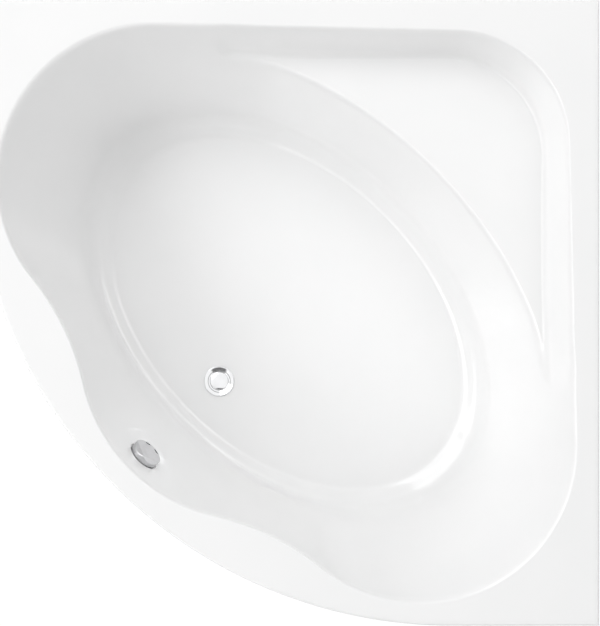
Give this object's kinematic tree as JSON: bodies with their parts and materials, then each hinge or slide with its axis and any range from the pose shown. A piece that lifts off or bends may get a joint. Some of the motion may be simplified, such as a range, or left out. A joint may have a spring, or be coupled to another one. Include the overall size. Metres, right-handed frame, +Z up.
{
  "type": "corner bathtub",
  "caption": "Symmetric corner bath with a curved front, oval basin, corner shelf, moulded floor step, pop-up waste with turning overflow knob, support frame and levelling feet.",
  "frame": {"origin": "middle of the square that the two walls and the free sides enclose, at the room floor", "axes": "+X towards the right-hand wall, +Y towards the wall at the top of the picture, +Z up; the curved front looks towards -X -Y"},
  "size_m": [1.4, 1.4, 0.58],
  "materials": {
    "acrylic": "glossy white acrylic",
    "panel_acrylic": "glossy white acrylic sheet",
    "chrome": "polished chrome plating",
    "galvanised": "galvanised steel, dull",
    "zinc": "zinc-plated fasteners",
    "stainless": "plain stainless steel",
    "board": "raw chipboard",
    "timber": "sawn softwood",
    "black_plastic": "moulded black plastic",
    "white_plastic": "moulded white polypropylene",
    "grey_hose": "flexible grey hose",
    "sheath": "black cable sheath",
    "rubber": "black sealing rubber"
  },
  "bodies": {
    "bath": {"tub_shell": "acrylic", "front_panel": "panel_acrylic", "panel_angle_right": "galvanised", "panel_angle_left": "galvanised", "wall_hangers": "galvanised", "base_board": "board", "front_bar": "galvanised", "rear_bar": "galvanised", "corner_bar": "galvanised", "bar_end_caps": "black_plastic", "frame_screws": "zinc", "weld_nuts": "zinc", "lock_nuts": "zinc", "post_screws": "zinc", "panel_screws": "zinc", "waste_flange": "chrome", "waste_cross": "stainless", "flange_seal": "rubber", "body_seal": "rubber", "waste_body": "white_plastic", "trap_nut": "white_plastic", "trap_lid": "white_plastic", "trap_seal": "rubber", "trap_cup": "white_plastic", "outlet_nut": "white_plastic", "outlet_pipe": "white_plastic", "overflow_seal": "rubber", "overflow_body": "white_plastic", "overflow_ring": "white_plastic", "ring_screws": "stainless", "overflow_hose": "grey_hose", "hose_clips": "black_plastic", "control_cable": "sheath", "cable_clips": "black_plastic", "rim_block_1": "timber", "panel_post_1": "galvanised", "rim_block_2": "timber", "panel_post_2": "galvanised", "rim_block_3": "timber", "panel_post_3": "galvanised", "rim_block_4": "timber", "panel_post_4": "galvanised"},
    "knob": {"overflow_knob": "chrome", "knob_shaft": "stainless", "cable_drum": "white_plastic"},
    "plug": {"plug_cap": "chrome", "plug_seal": "rubber", "plug_stem": "stainless"},
    "lift_lever": {"lift_lever": "stainless", "cable_crank": "white_plastic"},
    "foot_1": {"foot_spindle_1": "zinc", "foot_pad_1": "black_plastic"},
    "foot_2": {"foot_spindle_2": "zinc", "foot_pad_2": "black_plastic"},
    "foot_3": {"foot_spindle_3": "zinc", "foot_pad_3": "black_plastic"},
    "foot_4": {"foot_spindle_4": "zinc", "foot_pad_4": "black_plastic"},
    "foot_5": {"foot_spindle_5": "zinc", "foot_pad_5": "black_plastic"}
  },
  "joints": [
    {"name": "knob_turn", "type": "hinge", "parent": "bath", "child": "knob", "pos_m": [-0.3285, -0.3285, 0.48188], "axis": [0.6556, 0.6556, 0.3746], "range_deg": [0, 90]},
    {"name": "plug_lift", "type": "slide", "parent": "bath", "child": "plug", "axis": [0, 0, 1], "range_m": [0, 0.0121]},
    {"name": "lever_swing", "type": "hinge", "parent": "bath", "child": "lift_lever", "pos_m": [-0.17959, -0.17959, 0.1207], "axis": [0.7071, -0.7071, 0], "range_deg": [0, 29]},
    {"name": "foot_1_level", "type": "slide", "parent": "bath", "child": "foot_1", "axis": [0, 0, 1], "range_m": [-0.015, 0.015]},
    {"name": "foot_2_level", "type": "slide", "parent": "bath", "child": "foot_2", "axis": [0, 0, 1], "range_m": [-0.015, 0.015]},
    {"name": "foot_3_level", "type": "slide", "parent": "bath", "child": "foot_3", "axis": [0, 0, 1], "range_m": [-0.015, 0.015]},
    {"name": "foot_4_level", "type": "slide", "parent": "bath", "child": "foot_4", "axis": [0, 0, 1], "range_m": [-0.015, 0.015]},
    {"name": "foot_5_level", "type": "slide", "parent": "bath", "child": "foot_5", "axis": [0, 0, 1], "range_m": [-0.015, 0.015]}
  ],
  "couplings": [
    {"joint": "plug_lift", "follows": "knob_turn", "m_per_rad": 0.0076394},
    {"joint": "lever_swing", "follows": "knob_turn", "ratio": 0.32172}
  ]
}
